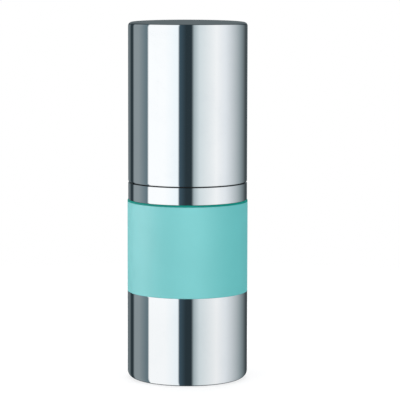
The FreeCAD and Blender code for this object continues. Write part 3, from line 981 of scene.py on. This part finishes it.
@dataclass
class Button(SubAssembly):
    """Press button: a bright cup with a finger dish, its moulded core and the spout's tip."""

    wall: float = 0.7
    ceiling: float = 0.8
    crown_round: float = 1.0
    dish_sag: float = 0.7
    dish_margin: float = 2.2
    dish_rings: int = 14
    dish_rim_round: float = 1.2
    skirt_round: float = 0.15
    hole_gap: float = 0.15
    hole_room_below: float = 2.0
    hole_room_above: float = 1.2
    drill_sides: int = 96
    tip_head_length: float = 0.95
    tip_shank_radius: float = 1.9
    tip_face_radius: float = 1.7
    tip_taper: float = 0.6
    tip_round: float = 0.18
    tip_steps: int = 96
    orifice_radius: float = 0.8
    orifice_round: float = 0.2

    def build(self) -> None:
        """Turns the cup and the spout's tip and dresses the core."""
        low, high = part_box("nozzle_insert")
        spout_height = (low.z + high.z) / 2 / MM
        head_radius = (high.x - low.x) / 2 / MM
        self.build_cup(spout_height, head_radius)
        self.build_tip(spout_height, head_radius, -high.y / MM, -low.y / MM)
        self.shop.dress_node("actuator_core", Slot.WHITE)

    def build_cup(self, spout_height: float, head_radius: float) -> None:
        """Turns the bright cup and cuts the round hole for the spout.

        Args:
            spout_height: height of the spout's axis.
            head_radius: radius of the spout's head.
        """
        radius, bottom, top = box_mm("actuator_shell")
        bore = radius - self.wall
        under = top - self.dish_sag - self.ceiling
        rim = radius - self.dish_margin
        ball = (rim ** 2 + self.dish_sag ** 2) / (2 * self.dish_sag)
        dish = []
        for ring in range(self.dish_rings):
            at = rim * (self.dish_rings - 1 - ring) / self.dish_rings
            dish.append(Corner(at, top - self.dish_sag + ball - math.sqrt(ball ** 2 - at ** 2)))
        outline = [
            Corner(0, under),
            Corner(bore, under),
            Corner(bore, bottom, self.skirt_round),
            Corner(radius, bottom, self.skirt_round),
            Corner(radius, top, self.crown_round),
            Corner(rim, top, self.dish_rim_round),
        ]
        cup = Lathe().turn("button_bright_cup", outline + dish)
        self.cut_hole(cup, radius, spout_height, head_radius + self.hole_gap)
        self.seat(cup, "actuator_shell", Body.BUTTON, Slot.BRIGHT)

    def cut_hole(self, cup: Piece, reach: float, height: float, radius: float) -> None:
        """Cuts the spout's hole through the front wall.

        Args:
            cup: the turned cup.
            reach: the cup's outside radius.
            height: height of the hole's axis.
            radius: radius of the hole.
        """
        bpy.ops.object.mode_set(mode="EDIT")
        for room in (-self.hole_room_below, self.hole_room_above):
            level = height + room * radius
            bpy.ops.mesh.select_all(action="SELECT")
            bpy.ops.mesh.bisect(plane_co=(0, 0, level * MM), plane_no=(0, 0, 1))
        bpy.ops.object.mode_set(mode="OBJECT")
        bpy.ops.object.select_all(action="DESELECT")
        bpy.ops.mesh.primitive_cylinder_add(
            vertices=self.drill_sides,
            radius=radius * MM,
            depth=reach * MM,
            location=(0.0, -reach * MM, height * MM),
            rotation=(math.pi / 2, 0.0, 0.0),
        )
        drill = bpy.context.object
        bpy.ops.object.select_all(action="DESELECT")
        bpy.context.view_layer.objects.active = cup
        cup.select_set(True)
        cut = cup.modifiers.new("hole", "BOOLEAN")
        cut.operation = "DIFFERENCE"
        cut.object = drill
        bpy.ops.object.modifier_apply(modifier=cut.name)
        bpy.data.objects.remove(drill)
        bpy.ops.object.mode_set(mode="EDIT")
        merge_doubles()
        bpy.ops.object.mode_set(mode="OBJECT")
        bpy.ops.object.shade_smooth_by_angle(angle=SMOOTH_ANGLE)

    def build_tip(self, height: float, radius: float, start: float, end: float) -> None:
        """Turns the spout's tip about its level axis, with a rounded mouth.

        Args:
            height: height of the tip's axis.
            radius: radius of its head.
            start: distance of its inner end from the bottle's axis.
            end: distance of its face from the bottle's axis.
        """
        shoulder = end - self.tip_head_length - self.tip_taper
        lathe = Lathe(centre=(0.0, 0.0, height), axis=(0.0, -1.0, 0.0), steps=self.tip_steps)
        tip = lathe.turn("spout_tip", [
            Corner(self.orifice_radius, start),
            Corner(self.tip_shank_radius, start),
            Corner(self.tip_shank_radius, shoulder),
            Corner(radius, shoulder),
            Corner(radius, end - self.tip_taper, self.tip_round),
            Corner(self.tip_face_radius, end, self.tip_round),
            Corner(self.orifice_radius, end, self.orifice_round),
        ])
        self.seat(tip, "nozzle_insert", Body.BUTTON, Slot.NOZZLE)


@dataclass(frozen=True)
class Card:
    """A point of the studio's ring round the bottle: its bearing from the camera and its tone."""

    bearing: float
    tone: Tone

    def share(self) -> float:
        """Gives the card's place on the ring, from 0 behind the bottle round to 1."""
        return self.bearing / FULL_TURN + 0.5


@dataclass(frozen=True)
class Lamp:
    """One soft square lamp that is aimed at the bottle's middle.

    A lamp with a piece named as its only one gives that piece its sheen and lights nothing else.
    """

    name: str
    place: Point
    side: float
    power: float
    only: str = ""


@dataclass
class Studio:
    """Floor, lamps and the surroundings that the bright metal shows.

    Spans say where an effect starts and where it is full: the floor's in millimetres, the lean and
    the shade by how far down a direction points, the foot's by how far down the mirroring wall
    faces, and the line's and the top's in degrees of rise.
    """

    aim: Point = (0.0, 0.0, 53.0)
    floor_side: float = 900.0
    floor_fade: Span = (90.0, 260.0)
    floor_glow: float = 0.62
    floor_tone: Tone = Tone(170, 170, 170)
    metal_gain: float = 1.08
    soft_strength: float = 0.42
    soft_tone: Tone = Tone(250, 252, 255)
    white_tone: Tone = Tone(255, 255, 255)
    sheen_tone: Tone = Tone(255, 243, 246)
    wall_tone: Tone = Tone(105, 115, 119)
    dark_tone: Tone = Tone(44, 53, 58)
    top_tone: Tone = Tone(97, 106, 109)
    shade_tone: Tone = Tone(0, 0, 0)
    shade_amount: float = 0.06
    shade_span: Span = (0.14, 0.17)
    lean_amount: float = 0.035
    lean_span: Span = (0.125, 0.155)
    foot_span: Span = (0.83, 0.90)
    line_span: Span = (53.0, 62.0)
    top_span: Span = (69.0, 77.0)

    def ring(self) -> list[Card]:
        """Lists the studio's cards by bearing, left of the camera negative.

        Returns:
            The cards' edges in order, one card or fade to a line.
        """
        wall, flag = self.wall_tone, Tone(44, 55, 60)
        grey, grey_end = Tone(136, 146, 150), Tone(95, 114, 122)
        box, box_end = Tone(253, 254, 255), Tone(240, 247, 251)
        slate, slate_end = Tone(62, 82, 94), Tone(41, 53, 59)
        return [
            Card(-180, wall), Card(-149, wall),
            Card(-142, flag), Card(-131.5, flag),
            Card(-125.5, grey), Card(-109, grey), Card(-83.5, grey_end),
            Card(-80.5, box), Card(-45, box), Card(-18.5, box_end),
            Card(-15.5, slate), Card(-3, slate_end), Card(8, slate_end),
            Card(12.5, Tone(165, 178, 182)), Card(23, Tone(210, 219, 222)),
            Card(57, Tone(242, 243, 244)), Card(78, Tone(225, 229, 233)),
            Card(125, Tone(132, 144, 148)),
            Card(145, Tone(74, 82, 85)), Card(155, Tone(58, 66, 69)),
            Card(170, wall), Card(180, wall),
        ]

    def build(self) -> None:
        """Sets the floor, the surroundings and the lamps."""
        self.build_floor()
        self.build_surroundings()
        for lamp in (
            Lamp("key_lamp", (-620, -560, 420), 520, 2.7),
            Lamp("fill_lamp", (560, -530, 260), 620, 3.2),
            Lamp("rim_lamp", (-840, 300, 200), 500, 1.8),
            Lamp("back_lamp", (140, 840, 300), 620, 2.8),
            Lamp("top_lamp", (0, 60, 700), 420, 2.2),
            Lamp("left_sheen_lamp", (-885, -90, 200), 1000, 22.0, "frosted_band"),
            Lamp("front_sheen_lamp", (110, -898, 250), 1000, 22.0, "frosted_band"),
        ):
            self.hang(lamp)

    def hang(self, lamp: Lamp) -> None:
        """Hangs one lamp; the bright metal shows the studio's cards and not the lamp.

        Args:
            lamp: the lamp to hang.
        """
        light = bpy.data.lights.new(lamp.name, "AREA")
        light.size = lamp.side * MM
        light.energy = lamp.power
        holder = bpy.data.objects.new(lamp.name, light)
        holder.location = Vector(lamp.place) * MM
        aim = Vector(self.aim) * MM - holder.location
        holder.rotation_euler = aim.to_track_quat("-Z", "Y").to_euler()
        holder.visible_camera = False
        holder.visible_glossy = bool(lamp.only)
        holder.visible_diffuse = not lamp.only
        if lamp.only:
            light.color = self.sheen_tone.linear()[:3]
            lit = bpy.data.collections.new(lamp.name)
            lit.objects.link(bpy.data.objects[lamp.only])
            holder.light_linking.receiver_collection = lit
        bpy.context.scene.collection.objects.link(holder)
        LOG.info("hung %s", lamp.name)

    def build_floor(self) -> None:
        """Lays a pale floor that fades into the white surroundings and keeps the shadow."""
        bpy.ops.object.select_all(action="DESELECT")
        bpy.ops.mesh.primitive_plane_add(size=self.floor_side * MM)
        floor = bpy.context.object
        floor.name = "studio_floor"
        floor.data.materials.append(self.floor_material())
        floor.visible_glossy = False
        LOG.info("laid %s", floor.name)

    def floor_material(self) -> Material:
        """Builds the floor's material: matt, with a glow for the camera alone, faded at the rim.

        Returns:
            The finished material.
        """
        material = bpy.data.materials.new("studio_floor")
        material.use_nodes = True
        material.node_tree.nodes.clear()
        sheet = NodeSheet(material.node_tree)
        reach = sheet.add("ShaderNodeVectorMath", operation="LENGTH")
        sheet.join(sheet.add("ShaderNodeTexCoord").outputs["Object"], reach.inputs[0])
        start, end = self.floor_fade
        fade = sheet.spread(reach.outputs["Value"], start * MM, end * MM)
        matt = sheet.add("ShaderNodeBsdfDiffuse", {"Color": self.floor_tone.linear()})
        glow = sheet.add("ShaderNodeEmission")
        seen = sheet.add("ShaderNodeLightPath").outputs["Is Camera Ray"]
        sheet.join(sheet.math("MULTIPLY", seen, self.floor_glow), glow.inputs["Strength"])
        both = sheet.add("ShaderNodeAddShader")
        sheet.join(matt.outputs[0], both.inputs[0])
        sheet.join(glow.outputs[0], both.inputs[1])
        clear = sheet.add("ShaderNodeBsdfTransparent")
        shown = sheet.mix_shaders(fade, both.outputs[0], clear.outputs[0])
        sheet.join(shown, sheet.add("ShaderNodeOutputMaterial").inputs["Surface"])
        return material

    def build_surroundings(self) -> None:
        """Makes the world: white to the camera, the ring of cards in the metal, even light else."""
        world = bpy.data.worlds.new("studio")
        bpy.context.scene.world = world
        world.use_nodes = True
        world.node_tree.nodes.clear()
        sheet = NodeSheet(world.node_tree)
        cards, even, white = (
            sheet.add("ShaderNodeBackground", {"Strength": strength})
            for strength in (self.metal_gain, self.soft_strength, 1.0)
        )
        sheet.join(self.card_colour(sheet), cards.inputs["Color"])
        sheet.join(self.soft_tone.linear(), even.inputs["Color"])
        sheet.join(self.white_tone.linear(), white.inputs["Color"])
        path = sheet.add("ShaderNodeLightPath").outputs
        mirrored = sheet.math("MAXIMUM", path["Is Glossy Ray"], path["Is Transmission Ray"])
        inner = sheet.mix_shaders(mirrored, even.outputs[0], cards.outputs[0])
        outer = sheet.mix_shaders(path["Is Camera Ray"], inner, white.outputs[0])
        sheet.join(outer, sheet.add("ShaderNodeOutputWorld").inputs["Surface"])

    def card_colour(self, sheet: NodeSheet) -> Socket:
        """Colours the surroundings by bearing, dimmed a little low down and dark overhead.

        A direction's bearing and rise are those of the wall that mirrors it to the front, so the
        cards run straight over the rounds of the crown and the foot. Low down, the cards on the
        left lean outward a little.

        Args:
            sheet: the world's sheet.

        Returns:
            The socket that holds the colour.
        """
        place = sheet.split(sheet.add("ShaderNodeTexCoord").outputs["Generated"])
        ahead = sheet.math("SUBTRACT", 1.0, place["Y"])
        low = sheet.math("MULTIPLY", place["Z"], -1.0)
        bearing = sheet.math("ARCTAN2", place["X"], ahead)
        lean = sheet.math("MULTIPLY", sheet.spread(low, *self.lean_span), self.lean_amount)
        shift = sheet.math("MULTIPLY", sheet.math("MINIMUM", bearing, 0.0), lean)
        leant = sheet.math("ADD", bearing, shift)
        share = sheet.math("ADD", sheet.math("DIVIDE", leant, math.pi), 0.5)
        ring = sheet.add("ShaderNodeValToRGB")
        self.fill_ramp(ring.color_ramp)
        sheet.join(share, ring.inputs["Fac"])
        length = sheet.math("SQRT", sheet.math("MULTIPLY", ahead, 2.0))
        down = sheet.math("DIVIDE", low, length)
        rise = sheet.math("DEGREES", sheet.math("ARCTAN2", place["Z"], ahead))
        shade = sheet.math("MULTIPLY", sheet.spread(low, *self.shade_span), self.shade_amount)
        colour = sheet.mix(shade, ring.outputs["Color"], self.shade_tone.linear())
        for value, span, tone in (
            (down, self.foot_span, self.dark_tone),
            (rise, self.line_span, self.dark_tone),
            (rise, self.top_span, self.top_tone),
        ):
            colour = sheet.mix(sheet.spread(value, *span), colour, tone.linear())
        return colour

    def fill_ramp(self, ramp: bpy.types.ColorRamp) -> None:
        """Sets a colour ramp's stops to the ring of cards.

        Args:
            ramp: the ramp to fill.
        """
        first, *others = self.ring()
        while len(ramp.elements) > 1:
            ramp.elements.remove(ramp.elements[-1])
        ramp.elements[0].position = first.share()
        ramp.elements[0].color = first.tone.linear()
        for card in others:
            ramp.elements.new(card.share()).color = card.tone.linear()


@dataclass(frozen=True)
class PhotoView:
    """Camera at the photograph's viewing angle."""

    place: Point = (3.72, -720.0, 137.7)
    pitch_down: float = 6.661
    roll: float = 0.12
    lens: float = 217.55
    nearest: float = 10.0
    farthest: float = 20000.0

    def build(self) -> None:
        """Sets up the camera and makes it the scene's own."""
        lens = bpy.data.cameras.new("photo_view")
        lens.lens = self.lens
        lens.clip_start = self.nearest * MM
        lens.clip_end = self.farthest * MM
        camera = bpy.data.objects.new("photo_view", lens)
        camera.location = Vector(self.place) * MM
        tilt = Matrix.Rotation(math.radians(90 - self.pitch_down), 3, "X")
        turn = Matrix.Rotation(math.radians(self.roll), 3, "Z")
        camera.rotation_euler = (tilt @ turn).to_euler()
        bpy.context.scene.collection.objects.link(camera)
        bpy.context.scene.camera = camera


def main() -> None:
    """Builds the sub-assemblies in order, then the studio and the camera."""
    logging.basicConfig(level=logging.INFO, format="%(name)s: %(message)s")
    bpy.context.scene.view_settings.view_transform = "Standard"
    shop = FinishShop()
    for assembly in (Barrel(shop), Collar(shop), Pump(shop), Button(shop), Cap(shop)):
        assembly.build()
    Studio().build()
    PhotoView().build()


if __name__ == "__main__":
    main()
